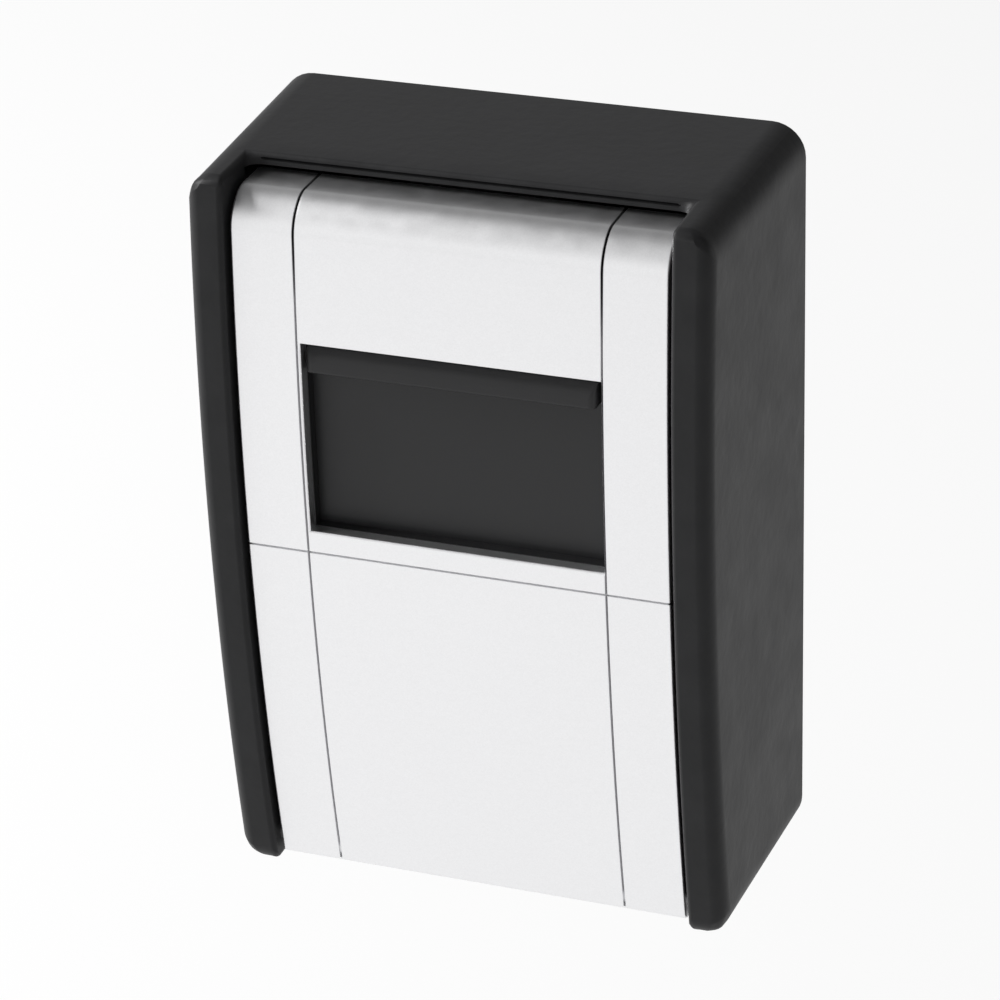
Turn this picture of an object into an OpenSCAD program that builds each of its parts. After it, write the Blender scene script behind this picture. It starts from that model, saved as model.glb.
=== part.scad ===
// Wall-mounted key safe: a cast housing, a bowed door that folds down on a rod along its foot,
// and a four-dial code lock behind a sliding shutter. Millimetres.
// X runs to the right, Y into the wall and Z up. The origin is the middle of the back face, on the wall.

/* [Housing] */
// Width across the back
body_w = 83.2; // [81:0.1:90]
// Height
body_h = 120; // [119:0.5:130]
// Depth from the wall to the fullest point of the cheeks
body_d = 43.4; // [43:0.1:50]
// How far each side draws in over that depth
side_draft = 1.7; // [0.5:0.1:2.5]
// How far the top draws down over that depth
top_draft = 0.8; // [0.4:0.1:1.5]
// Corner radius, seen from the front
corner_r = 5.7; // [4:0.1:7]
// Thickness of the back wall
back_wall = 2.5; // [2:0.1:4]
// Least thickness of the side walls
side_wall = 2.5; // [2:0.1:3]
// Thickness of the top wall at its lip
lip_wall = 1.8; // [1.4:0.1:2.4]
// Thickness of the bottom wall
bottom_wall = 2.5; // [2:0.1:4]
// Distance from the fullest point of the cheeks back to the top lip
lip_setback = 12.4; // [11:0.1:13]
// How far the cheeks stand in front of the door
cheek_proud = 1.5; // [1:0.1:3]
// Radius of the cheeks' top ends, seen from the side
cheek_top_r = 4; // [3:0.1:5]
// Radius of the cheeks' bottom ends, seen from the side
cheek_end_r = 3.5; // [2.5:0.1:4]

/* [Wall holes] */
// Diameter of the four wall holes
wall_hole_d = 5.2; // [4:0.1:6]
// Distance between the wall holes across the width
wall_hole_dx = 48; // [40:1:56]
// Distance between the wall holes over the height
wall_hole_dz = 76; // [60:1:90]

/* [Door] */
// Width of the door
door_w = 66.8; // [66.2:0.1:67.2]
// Gap between the door and each cheek
door_gap = 0.7; // [0.5:0.1:1]
// Gap between the top lip and the door
top_gap = 1.1; // [0.8:0.1:1.5]
// Height of the door's foot above the housing's foot
foot_gap = 1.94; // [1.6:0.02:2.2]
// Thickness of the door's wall
door_wall = 1.7; // [1.4:0.1:1.8]
// Radius of the door's bow, seen from the side
bow_r = 470; // [440:5:600]
// Height of the fullest point of the bow above the middle
bow_rise = 18.3; // [15:0.1:20]
// Radius of the rolled top edge
roll_r = 5.5; // [4.5:0.1:6]
// Radius of the foot's front edge
foot_r = 1; // [0.6:0.1:1.5]
// Depth of the door's side flanges behind its fullest point
flange_d = 10.3; // [9.5:0.1:10.8]
// How far the rolled top reaches in behind the top lip
lip_overlap = 1.6; // [1:0.1:2]

/* [Grooves] */
// Distance between the two upright grooves
groove_span = 47.06; // [46:0.02:49]
// Height of the cross groove above the middle
seam_z = 0.16; // [-1:0.02:1]
// Width of the grooves
groove_w = 0.6; // [0.4:0.1:1]
// Depth of the grooves
groove_depth = 0.35; // [0.2:0.05:0.5]

/* [Window] */
// Width of the window
window_w = 46.4; // [46:0.1:47]
// Height of the window
window_h = 30.9; // [30:0.1:32]
// Height of the window's sill above the middle
sill_z = 3.8; // [3:0.1:4.5]
// Depth of the window's reveal behind the fullest point of the door
reveal = 3.7; // [3.4:0.1:4]
// Width of the raised frame around the window, on the inside
reveal_rim = 2.6; // [2:0.1:3]

/* [Hinge] */
// Radius of the hinge rod
rod_r = 1.5; // [1.2:0.1:1.6]
// Height of the hinge rod above the housing's foot
rod_rise = 4.8; // [4.6:0.1:5]
// Distance of the hinge rod behind the door's face
rod_inset = 2.7; // [2.6:0.1:3]
// Depth of the rod's seats in the cheeks
rod_seat = 3; // [2:0.1:3.5]
// Outer radius of the door's knuckles
knuckle_r = 2.7; // [2.5:0.1:2.8]
// Length of each knuckle
knuckle_len = 10; // [8:0.5:14]
// Gap between the swinging foot of the door and the bottom wall
swing_gap = 0.6; // [0.4:0.1:1]

/* [Shutter] */
// Thickness of the shutter
shutter_t = 1.2; // [1:0.1:1.4]
// How far the shutter reaches past each side of the window
shutter_lap = 2.2; // [1.6:0.1:2.4]
// How far the shutter reaches past the sill and the head of the window
shutter_end = 1.6; // [1.2:0.1:1.8]
// Height of the finger ridge
ridge_h = 4; // [3.5:0.1:4.5]
// How far the finger ridge stands out
ridge_d = 2; // [1.5:0.1:2.4]
// Radius of the finger ridge's edges
ridge_round = 1.2; // [0.8:0.1:1.4]
// Gap between the finger ridge and the head of the window
ridge_drop = 0.5; // [0.3:0.1:1]
// Gap between the finger ridge and the left side of the window
ridge_left = 0.5; // [0.3:0.1:1]
// Gap between the finger ridge and the right side of the window
ridge_right = 2; // [1:0.1:3]
// Sliding gap around the shutter
slide_gap = 0.25; // [0.2:0.05:0.35]
// Travel of the shutter
shutter_travel = 25; // [23:0.5:25.5]

/* [Dials] */
// Radius of the dials
dial_r = 8.5; // [8:0.1:8.7]
// Width of the dials
dial_w = 6.4; // [6:0.1:6.6]
// Distance from dial to dial
dial_pitch = 10.5; // [10.4:0.1:11]
// Height of the dials' axis above the sill
dial_rise = 12.7; // [12.4:0.1:13]
// How far the dials stand out of the mechanism frame
dial_proud = 1.5; // [1:0.1:2]
// Radius of the scallops between the numerals
scallop_r = 0.7; // [0.4:0.1:1]
// Number of places on a dial
places = 10; // [6:1:12]
// Depth of the toothed recess in each dial
recess_d = 2; // [1.8:0.1:2.2]
// Outer radius of the driving teeth
tooth_out = 5.6; // [5:0.1:6]
// Inner radius of the driving teeth
tooth_in = 4.6; // [4:0.1:4.8]

/* [Cams] */
// Radius of the cams
cam_r = 6; // [5.9:0.1:6.2]
// Thickness of the cams
cam_t = 1.8; // [1.5:0.1:1.8]
// Gap around the cams, the dials and the latch
side_gap = 0.3; // [0.25:0.05:0.35]
// Gap between a cam and its dial
cam_gap = 0.3; // [0.2:0.05:0.4]
// How far a cam's teeth reach into its dial
tooth_reach = 0.9; // [0.7:0.05:1]
// Clearance of a cam's teeth in its dial
tooth_gap = 0.15; // [0.1:0.05:0.2]

/* [Axle] */
// Radius of the axle
axle_r = 2; // [1.8:0.1:2.1]
// Running clearance on the axle and the hinge rod, on the radius
run_gap = 0.05; // [0.02:0.01:0.08]
// Clearance of fixed pins, screws and clips in their seats, on the radius
seat_gap = 0.02; // [0.01:0.01:0.05]
// Thickness of the retaining clips
clip_t = 0.5; // [0.4:0.05:0.6]
// Radius of the retaining clips
clip_r = 2.5; // [2.3:0.1:2.6]
// Gap between a retaining clip and the cam that it holds
clip_gap = 0.05; // [0.02:0.01:0.08]
// How far the axle stands out past its last clip and the code tab
axle_tail = 0.7; // [0.4:0.1:1]
// Travel of the axle when a new code is set
code_travel = 1.3; // [1.1:0.05:1.35]
// Thickness of the code tab
tab_t = 2.2; // [1.8:0.1:2.4]
// Height of the code tab
tab_h = 5; // [4.6:0.1:6]
// How far the code tab stands out of the rear cover
tab_proud = 1.2; // [0.8:0.1:1.5]

/* [Mechanism frame] */
// Thickness of the frame's plate
plate_t = 1.8; // [1.5:0.1:2]
// Height of the frame's foot below the middle
frame_foot = 31; // [31:0.5:34]
// Height of the frame's top above the middle
frame_top = 47.5; // [47:0.5:50]
// Thickness of the shutter rails
rail_t = 1.2; // [1:0.1:1.4]
// Width of the ledge behind the shutter's edges
ledge_w = 1.6; // [1.2:0.1:2]
// Thickness of the axle brackets
bracket_t = 2.2; // [1.8:0.1:2.4]
// Height of the axle brackets
bracket_h = 9; // [8:0.5:11]
// Radius of the cover posts
post_r = 2.5; // [2.2:0.1:2.6]
// Distance of the cover posts from the middle
post_x = 27.8; // [27.6:0.1:28.2]
// Height of the lower cover posts
post_low = 4; // [3:0.5:5]
// Height of the upper cover posts
post_high = 36; // [34:0.5:37]

/* [Screws] */
// Radius of the screw shanks
shank_r = 1.2; // [1:0.1:1.3]
// Radius of the screw heads
head_r = 2.2; // [2:0.1:2.3]
// Height of the screw heads
head_h = 1.4; // [1.2:0.1:1.6]
// How far the frame screws reach into the door
frame_bite = 2.6; // [2:0.1:2.8]
// How far the cover screws reach into the posts
cover_bite = 6; // [4:0.5:8]
// Radius of the screw bosses on the door
boss_r = 2.4; // [2.2:0.1:2.5]
// Distance of the screw bosses from the middle
boss_x = 28.8; // [28.6:0.1:29.1]
// Height of the upper screw bosses
boss_high = 43.6; // [43:0.1:44.5]
// Depth of the lower screw bosses below the middle
boss_low = 27.6; // [27.4:0.1:28.2]

/* [Rear cover] */
// Thickness of the rear cover
cover_t = 1.4; // [1.2:0.1:1.8]
// Gap between the dials and the rear cover
cover_gap = 0.8; // [0.5:0.1:1]
// Height of the cover's top above the middle
cover_top = 40; // [39:0.5:42]
// Height of the cover's foot above the middle
cover_foot = 0.5; // [0:0.1:1]

/* [Latch] */
// Travel of the latch
latch_travel = 3.6; // [3.4:0.05:3.8]
// Thickness of the latch plate
latch_t = 2; // [1.8:0.1:2.4]
// Thickness of the latch's tongue
tongue_t = 2.2; // [1.8:0.1:2.4]
// Width of the latch's tongue
tongue_w = 20; // [16:1:24]
// How far the tongue stands above the strike's lower edge
tongue_catch = 2.9; // [2.6:0.1:3]
// Gap between the tongue and the strike
tongue_gap = 0.4; // [0.3:0.1:0.6]
// Gap between the latch plate and what stands behind it
latch_clear = 1; // [0.5:0.1:1.5]
// Thickness of the arm that the springs press on
arm_t = 2; // [1.6:0.1:2.4]
// Thickness of the strike rib
strike_t = 2.5; // [2:0.1:3]
// Depth of the strike rib below the top wall
strike_h = 4; // [3.8:0.1:4.4]
// Width of the release button
button_w = 13.6; // [12:0.2:16]
// Height of the release button
button_h = 4.4; // [4:0.1:4.6]
// Gap around the release button
button_gap = 0.5; // [0.4:0.1:0.6]

/* [Springs] */
// Wire radius of the latch springs
wire_r = 0.35; // [0.3:0.05:0.4]
// Coil radius of the latch springs
coil_r = 1.7; // [1.4:0.1:2]
// Turns of each latch spring
coil_turns = 5; // [4:1:5]
// Length of the latch springs at rest
coil_len = 8; // [7.5:0.1:8.5]
// Thickness of the shelf that the springs stand on
shelf_t = 1.5; // [1.2:0.1:2]
// Distance between the two latch springs
coil_span = 18; // [14:1:22]
// Thickness of the detent spring
leaf_t = 0.5; // [0.4:0.05:0.6]
// Width of the detent spring's fingers
finger_w = 3; // [2:0.2:4]
// Height of the detent spring's strip
strip_h = 5; // [4:0.5:7]
// Gap between the fingers and the dials
finger_gap = 0.3; // [0.2:0.05:0.4]

/* [Hidden] */
$fn = 64;

// Length of a cut that runs clear of the part, and the overshoot of smaller cuts
far = 200;
over = 1;
// Straight steps in the long bow and in a small round
bow_steps = 24;
round_steps = 8;

// The bow: a large circle seen from the side, shared by the door and the cheeks
face_y = -body_d + cheek_proud;
bow_cy = face_y + bow_r;
bow_cz = bow_rise;
function bow_y(r, z) = bow_cy - sqrt(r * r - pow(z - bow_cz, 2));

// Heights and depths of the housing
foot_z = -body_h / 2;
lip_y = -body_d + lip_setback;
lip_top = body_h / 2 - top_draft * (body_d - lip_setback) / body_d;
cavity_top = lip_top - lip_wall;
cavity_half = body_w / 2 - side_draft - side_wall;
recess_half = door_w / 2 + door_gap;

// Heights of the door, and its hinge axis
door_top = cavity_top - top_gap;
door_foot = foot_z + foot_gap;
flange_y = face_y + flange_d;
rod_z = foot_z + rod_rise;
rod_y = bow_y(bow_r, rod_z) + rod_inset;
foot_reach = norm([flange_y - rod_y, door_foot - rod_z]);
foot_front = norm([bow_y(bow_r, door_foot) - rod_y, door_foot - rod_z]);
bottom_front = rod_y + max(foot_reach, foot_front, knuckle_r) + swing_gap;

// The stack from the window back to the rear cover
reveal_y = face_y + reveal;
shutter_y = reveal_y + slide_gap;
shutter_back = shutter_y + shutter_t;
dial_front = shutter_back + slide_gap;
axle_y = dial_front + dial_r;
axle_z = sill_z + dial_rise;
plate_y = dial_front + dial_proud;
plate_back = plate_y + plate_t;
cover_y = axle_y + dial_r + cover_gap;
cover_back = cover_y + cover_t;

// Edges of the shutter, its rails and the window
head_z = sill_z + window_h;
shutter_half = window_w / 2 + shutter_lap;
shutter_foot = sill_z - shutter_end;
shutter_top = head_z + shutter_end;
rail_y = shutter_y + slide_gap;
rail_x = shutter_half + slide_gap;
rail_foot = shutter_foot - shutter_travel - slide_gap - rail_t;
rail_top = shutter_top + slide_gap + rail_t;
frame_half = door_w / 2 - door_wall - slide_gap;

// Places along the axle
dial_count = 4;
dial_x = [for (i = [0 : dial_count - 1]) (i - (dial_count - 1) / 2) * dial_pitch];
cam_x = [for (x = dial_x) x + dial_w / 2 + cam_gap];
last_clip = cam_x[dial_count - 1] + cam_t + clip_gap + clip_t;
bracket_x = last_clip + code_travel + side_gap;
tab_x = bracket_x + bracket_t + side_gap;
end_clip_x = -bracket_x - bracket_t - code_travel - side_gap - clip_t;
axle_left = end_clip_x - axle_tail;
axle_right = tab_x + tab_t + axle_tail;
bracket_y = axle_y + bracket_h / 2;

// The latch: fence teeth over the cams, plate above the dials, arm over the springs and tongue at the top
fence_z = axle_z + cam_r + side_gap;
gate_z = cam_r - latch_travel;
gate_w = latch_t + 2 * side_gap;
fence_x = dial_w / 2 + side_gap;
fence_len = dial_pitch - dial_w - 2 * side_gap;
latch_y = axle_y - latch_t / 2;
latch_back = latch_y + latch_t;
latch_foot = axle_z + dial_r + latch_travel + side_gap;
latch_left = dial_x[0] - dial_w / 2 + side_gap;
latch_right = dial_x[dial_count - 1] + fence_x + fence_len;
strike_low = cavity_top - strike_h;
strike_y = latch_back + latch_clear;
strike_back = strike_y + strike_t;
strike_half = tongue_w / 2 + latch_clear;
tongue_y = strike_back + tongue_gap;
tongue_back = tongue_y + tongue_t;
tongue_top = strike_low + tongue_catch;
shelf_z = post_high - shelf_t;
coil_z = shelf_z + shelf_t;
arm_z = coil_z + coil_len;
coil_y = (latch_back + cover_y) / 2;
button_z = latch_foot + side_gap;
button_y = shutter_back + slide_gap / 2;

// The y, z points of an arc from angle a to angle b, ends included
function arc(cy, cz, r, a, b, n) =
    [for (i = [0 : n]) [cy + r * cos(a + (b - a) * i / n), cz + r * sin(a + (b - a) * i / n)]];

// A bowed outline seen from the side, rounded at its top and foot, with its back edge flared by flare
function bowed(r, top, top_r, foot, end_r, back, flare) =
    let (
        tz = top - top_r,
        ty = bow_cy - sqrt(pow(r - top_r, 2) - pow(tz - bow_cz, 2)),
        ez = foot + end_r,
        ey = bow_cy - sqrt(pow(r - end_r, 2) - pow(ez - bow_cz, 2)),
        ta = atan2(tz - bow_cz, ty - bow_cy),
        ea = 360 + atan2(ez - bow_cz, ey - bow_cy),
        bow = arc(bow_cy, bow_cz, r, ea, ta, bow_steps)
    )
    concat(
        [[back, foot - flare]],
        arc(ey, ez, end_r, 270, ea, round_steps),
        [for (i = [1 : bow_steps - 1]) bow[i]],
        arc(ty, tz, top_r, ta, 90, round_steps),
        [[back, top + flare]]
    );

// Rings of one coil spring that stands on the shelf
coil_sides = 6;
coil_rings = 8;
coil_rise = (coil_len - 2 * wire_r) / coil_turns;
coil_count = coil_turns * coil_rings;
function coil_at(i) =
    let (a = 360 * i / coil_rings)
    [coil_r * cos(a), coil_r * sin(a), wire_r + coil_rise * i / coil_rings];
function coil_ring(i) =
    let (a = 360 * i / coil_rings, p = coil_at(i))
    [
        for (k = [0 : coil_sides - 1])
            let (b = 360 * k / coil_sides, out = wire_r * cos(b))
            [p[0] + out * cos(a), p[1] + out * sin(a), p[2] + wire_r * sin(b)]
    ];
coil_gap = min([
    for (i = [0 : coil_count - coil_rings / 2], j = [i + coil_rings / 2 : coil_count])
        norm(coil_at(i) - coil_at(j))
]) - 2 * wire_r;
echo(latch_spring_gap = coil_gap);

// Extrudes a y, z outline along X, centred
module along_x(length) {
    translate([-length / 2, 0, 0]) rotate([90, 0, 90]) linear_extrude(length) children();
}

// A box from one corner to the other
module box(low, high) {
    translate(low) cube(high - low);
}

// A round bar along X or Y, from its first to its last place
module bar_x(r, from, to, y, z) {
    translate([from, y, z]) rotate([0, 90, 0]) cylinder(r = r, h = to - from);
}
module bar_y(r, from, to, x, z) {
    translate([x, from, z]) rotate([-90, 0, 0]) cylinder(r = r, h = to - from);
}

// A toothed outline around the axle
module toothed(out, inner) {
    polygon([
        for (i = [0 : 2 * places - 1])
            let (r = i % 2 == 0 ? out : inner, a = 180 * i / places)
            [axle_y + r * cos(a), axle_z + r * sin(a)]
    ]);
}

// Rounded end plate of the drawn-in housing at one depth
module housing_slice(y) {
    half = body_w / 2 + side_draft * y / body_d - corner_r;
    high = body_h / 2 + top_draft * y / body_d - corner_r;
    for (x = [-half, half], z = [foot_z + corner_r, high])
        translate([x, y, z]) rotate([90, 0, 0]) cylinder(r = corner_r, h = over, $fn = 48);
}

module housing() {
    color("#2b2c2e") difference() {
        intersection() {
            hull() {
                housing_slice(0);
                housing_slice(-body_d);
            }
            along_x(far) polygon(bowed(
                bow_r + cheek_proud, body_h / 2 - top_draft, cheek_top_r, foot_z, cheek_end_r, over, over
            ));
        }
        // Recess for the door, open at the top and the foot
        box([-recess_half, -far, -far], [recess_half, lip_y, far]);
        box([-recess_half, -far, -far], [recess_half, bottom_front, rod_z]);
        // Key compartment, with the strike rib left under its top
        difference() {
            box([-cavity_half, lip_y - over, foot_z + bottom_wall], [cavity_half, -back_wall, cavity_top]);
            box([-far, -far, -far], [-recess_half, lip_y, far]);
            box([recess_half, -far, -far], [far, lip_y, far]);
            box([-strike_half, strike_y, strike_low], [strike_half, strike_back, far]);
        }
        for (x = [-wall_hole_dx, wall_hole_dx] / 2, z = [-wall_hole_dz, wall_hole_dz] / 2)
            bar_y(wall_hole_d / 2, -back_wall - over, over, x, z);
        bar_x(rod_r + seat_gap, -recess_half - rod_seat, recess_half + rod_seat, rod_y, rod_z);
    }
}

module hinge_rod() {
    color("silver") bar_x(rod_r, -recess_half - rod_seat, recess_half + rod_seat, rod_y, rod_z);
}

// The door's outline, sunk below its face by the given depth
module door_outline(sink, back) {
    polygon(bowed(
        bow_r - sink, door_top - sink, roll_r - sink, door_foot + sink, foot_r, back, 0
    ));
}

module screw_bosses(r, from, to) {
    for (x = [-boss_x, boss_x], z = [-boss_low, boss_high]) bar_y(r, from, to, x, z);
}

module door_shell() {
    half = door_w / 2;
    rim = window_w / 2 + reveal_rim;
    groove_face = bow_y(bow_r, seam_z) + groove_depth;
    color("#d9dadc") difference() {
        intersection() {
            along_x(door_w) door_outline(0, 0);
            union() {
                difference() {
                    union() {
                        box([-half, -far, -far], [half, flange_y, far]);
                        box([-half, -far, door_top - door_wall], [half, lip_y + lip_overlap, far]);
                    }
                    along_x(door_w - 2 * door_wall) door_outline(door_wall, over);
                }
                box([-rim, -far, sill_z - reveal_rim], [rim, reveal_y, head_z + reveal_rim]);
                screw_bosses(boss_r, -far, plate_y);
                for (x = [-half, half - knuckle_len])
                    bar_x(knuckle_r, x, x + knuckle_len, rod_y, rod_z);
            }
        }
        box([-window_w / 2, -far, sill_z], [window_w / 2, far, head_z]);
        screw_bosses(shank_r + seat_gap, plate_y - frame_bite, over);
        bar_x(rod_r + run_gap, -far, far, rod_y, rod_z);
        // Grooves that follow the bow and the rolled top
        difference() {
            for (x = [-groove_span, groove_span] / 2)
                box([x - groove_w / 2, -far, -far], [x + groove_w / 2, flange_y, far]);
            along_x(far) door_outline(groove_depth, over);
            box([-far, -far, -far], [far, far, door_foot + groove_depth + foot_r]);
        }
        box([-far, -far, seam_z - groove_w / 2], [far, groove_face, seam_z + groove_w / 2]);
    }
}

module shutter() {
    ridge_top = head_z - ridge_drop;
    ridge_foot = ridge_top - ridge_h;
    left = -window_w / 2 + ridge_left;
    right = window_w / 2 - ridge_right;
    color("#363637") union() {
        box([-shutter_half, shutter_y, shutter_foot], [shutter_half, shutter_back, shutter_top]);
        translate([(left + right) / 2, 0, 0]) along_x(right - left) polygon(concat(
            [[shutter_back, ridge_foot]],
            arc(shutter_y - ridge_d + ridge_round, ridge_foot + ridge_round, ridge_round, 270, 180, round_steps),
            arc(shutter_y - ridge_d + ridge_round, ridge_top - ridge_round, ridge_round, 180, 90, round_steps),
            [[shutter_back, ridge_top]]
        ));
    }
}

module cover_posts(r, from, to) {
    for (x = [-post_x, post_x], z = [post_low, post_high]) bar_y(r, from, to, x, z);
}

module mechanism_frame() {
    button_half = button_w / 2 + button_gap;
    slot_half = dial_w / 2 + side_gap;
    slot_high = sqrt(pow(dial_r, 2) - pow(axle_y - plate_back, 2)) + 2 * side_gap;
    color("#232426") difference() {
        union() {
            box([-frame_half, plate_y, -frame_foot], [frame_half, plate_back, frame_top]);
            // Shutter rail, the ledge behind the shutter's edge and the axle bracket on each side
            for (side = [0, 1])
                mirror([side, 0, 0]) {
                    box([rail_x, rail_y, rail_foot], [rail_x + rail_t, plate_y, rail_top]);
                    box([shutter_half - ledge_w, shutter_back + slide_gap / 2, rail_foot],
                        [rail_x, plate_y, rail_top]);
                    box([bracket_x, plate_back, axle_z - bracket_h / 2],
                        [bracket_x + bracket_t, bracket_y, axle_z + bracket_h / 2]);
                }
            box([-rail_x, rail_y, rail_top - rail_t], [rail_x, plate_y, rail_top]);
            box([-rail_x, rail_y, rail_foot], [rail_x, plate_y, rail_foot + rail_t]);
            // Guides on both sides of the latch plate
            box([latch_left - side_gap - rail_t, plate_back, latch_foot],
                [latch_left - side_gap, latch_back, arm_z]);
            box([latch_right + side_gap, plate_back, latch_foot],
                [latch_right + side_gap + rail_t, latch_back, arm_z]);
            cover_posts(post_r, plate_back, cover_y);
        }
        for (x = dial_x)
            box([x - slot_half, -far, axle_z - slot_high], [x + slot_half, plate_back + over, axle_z + slot_high]);
        box([-button_half, -far, button_z - latch_travel - button_gap],
            [button_half, plate_back + over, button_z + button_h + button_gap]);
        bar_x(axle_r + run_gap, -far, far, axle_y, axle_z);
        for (x = cam_x)
            bar_x(cam_r + side_gap, x - side_gap, x + cam_t + code_travel + side_gap, axle_y, axle_z);
        screw_bosses(shank_r + seat_gap, -far, plate_back + over);
        cover_posts(shank_r + seat_gap, cover_y - cover_bite, cover_y + over);
    }
}

module frame_screws() {
    color("silver") {
        screw_bosses(shank_r, plate_y - frame_bite, plate_back);
        screw_bosses(head_r, plate_back, plate_back + head_h);
    }
}

module cover_screws() {
    color("silver") {
        cover_posts(shank_r, cover_y - cover_bite, cover_back);
        cover_posts(head_r, cover_back, cover_back + head_h);
    }
}

module detent_spring() {
    finger_top = axle_z - dial_r - finger_gap;
    finger_back = axle_y + finger_w;
        half = dial_x[dial_count - 1] + dial_w / 2;
    color("gold") {
        box([-half, plate_back, finger_top - strip_h], [half, plate_back + leaf_t, finger_top]);
        for (x = dial_x)
            box([x - finger_w / 2, plate_back, finger_top - leaf_t], [x + finger_w / 2, finger_back, finger_top]);
    }
}

module rear_cover() {
    shelf_y = latch_back + latch_clear;
    shelf_half = coil_span / 2 + coil_r + latch_clear;
    tab_half = tab_h / 2 + button_gap;
    color("#2a2b2d") difference() {
        union() {
            box([-frame_half, cover_y, cover_foot], [frame_half, cover_back, cover_top]);
            box([-shelf_half, shelf_y, shelf_z], [shelf_half, cover_back, shelf_z + shelf_t]);
        }
        box([tab_x - button_gap, -far, axle_z - tab_half],
            [tab_x + tab_t + code_travel + button_gap, far, axle_z + tab_half]);
        cover_posts(shank_r + seat_gap, cover_y - over, cover_back + over);
    }
}

module coil() {
    last = coil_count * coil_sides;
    polyhedron(
        points = [for (i = [0 : coil_count]) each coil_ring(i)],
        faces = concat(
            [for (k = [1 : coil_sides - 2]) [0, k, k + 1]],
            [for (k = [1 : coil_sides - 2]) [last, last + k + 1, last + k]],
            [
                for (i = [0 : coil_count - 1], k = [0 : coil_sides - 1])
                    let (a = i * coil_sides + k, b = i * coil_sides + (k + 1) % coil_sides)
                    each [[a, a + coil_sides, b], [b, a + coil_sides, b + coil_sides]]
            ]
        )
    );
}

module latch_springs() {
    color("lightsteelblue")
        for (x = [-coil_span, coil_span] / 2) translate([x, coil_y, coil_z]) coil();
}

module latch_slide() {
    color("#8f9296") union() {
        box([latch_left, latch_y, latch_foot], [latch_right, latch_back, arm_z + arm_t]);
        for (x = dial_x)
            box([x + fence_x, latch_y, fence_z], [x + fence_x + fence_len, latch_back, latch_foot + over]);
        box([-tongue_w / 2, latch_y, arm_z], [tongue_w / 2, tongue_back, arm_z + arm_t]);
        box([-tongue_w / 2, tongue_y, arm_z], [tongue_w / 2, tongue_back, tongue_top]);
    }
}

module release_button() {
    color("#c8322a")
        box([-button_w / 2, button_y, button_z], [button_w / 2, latch_y, button_z + button_h]);
}

module axle() {
    color("silver") bar_x(axle_r, axle_left, axle_right, axle_y, axle_z);
}

module clip(x) {
    difference() {
        bar_x(clip_r, x, x + clip_t, axle_y, axle_z);
        bar_x(axle_r + seat_gap, x - over, x + clip_t + over, axle_y, axle_z);
    }
}

module axle_clips() {
    color("dimgray") {
        for (x = cam_x) {
            clip(x + cam_t + clip_gap);
            clip(x - cam_gap - tooth_reach - clip_gap - clip_t);
        }
        clip(end_clip_x);
    }
}

module code_tab() {
    color("#b8322c") difference() {
        box([tab_x, axle_y - tab_h / 2, axle_z - tab_h / 2],
            [tab_x + tab_t, cover_back + tab_proud, axle_z + tab_h / 2]);
        bar_x(axle_r + seat_gap, tab_x - over, tab_x + tab_t + over, axle_y, axle_z);
    }
}

module dial(x) {
    right = x + dial_w / 2;
    color("#1e1f21") difference() {
        bar_x(dial_r, x - dial_w / 2, right, axle_y, axle_z);
        bar_x(axle_r + run_gap, x - dial_w, x + dial_w, axle_y, axle_z);
        translate([right, 0, 0]) along_x(2 * recess_d) toothed(tooth_out, tooth_in);
        for (i = [0 : places - 1]) {
            a = 360 * (i + 0.5) / places;
            bar_x(scallop_r, x - dial_w, x + dial_w,
                axle_y + (dial_r + scallop_r / 2) * cos(a), axle_z + (dial_r + scallop_r / 2) * sin(a));
        }
    }
}

module cam(x) {
    reach = cam_gap + tooth_reach;
    color("goldenrod") difference() {
        union() {
            bar_x(cam_r, x, x + cam_t, axle_y, axle_z);
            translate([x, 0, 0]) along_x(2 * reach) toothed(tooth_out - tooth_gap, tooth_in - tooth_gap);
        }
        bar_x(axle_r + run_gap, x - 2 * reach, x + 2 * cam_t, axle_y, axle_z);
        for (side = [-1, 1])
            translate([0, axle_y, axle_z + side * (gate_z + far / 2)])
                box([x - 2 * reach, -gate_w / 2, -far / 2], [x + cam_t + over, gate_w / 2, far / 2]);
    }
}

module dial_1() { dial(dial_x[0]); }
module dial_2() { dial(dial_x[1]); }
module dial_3() { dial(dial_x[2]); }
module dial_4() { dial(dial_x[3]); }
module cam_1() { cam(cam_x[0]); }
module cam_2() { cam(cam_x[1]); }
module cam_3() { cam(cam_x[2]); }
module cam_4() { cam(cam_x[3]); }

housing();
hinge_rod();
door_shell();
mechanism_frame();
frame_screws();
detent_spring();
rear_cover();
cover_screws();
latch_springs();
shutter();
latch_slide();
release_button();
axle();
axle_clips();
code_tab();
dial_1();
dial_2();
dial_3();
dial_4();
cam_1();
cam_2();
cam_3();
cam_4();
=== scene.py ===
"""Wall-mounted combination key safe: finished pieces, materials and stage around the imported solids."""

import math

import bmesh
import bpy
import numpy as np
from mathutils import Matrix, Vector


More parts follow.
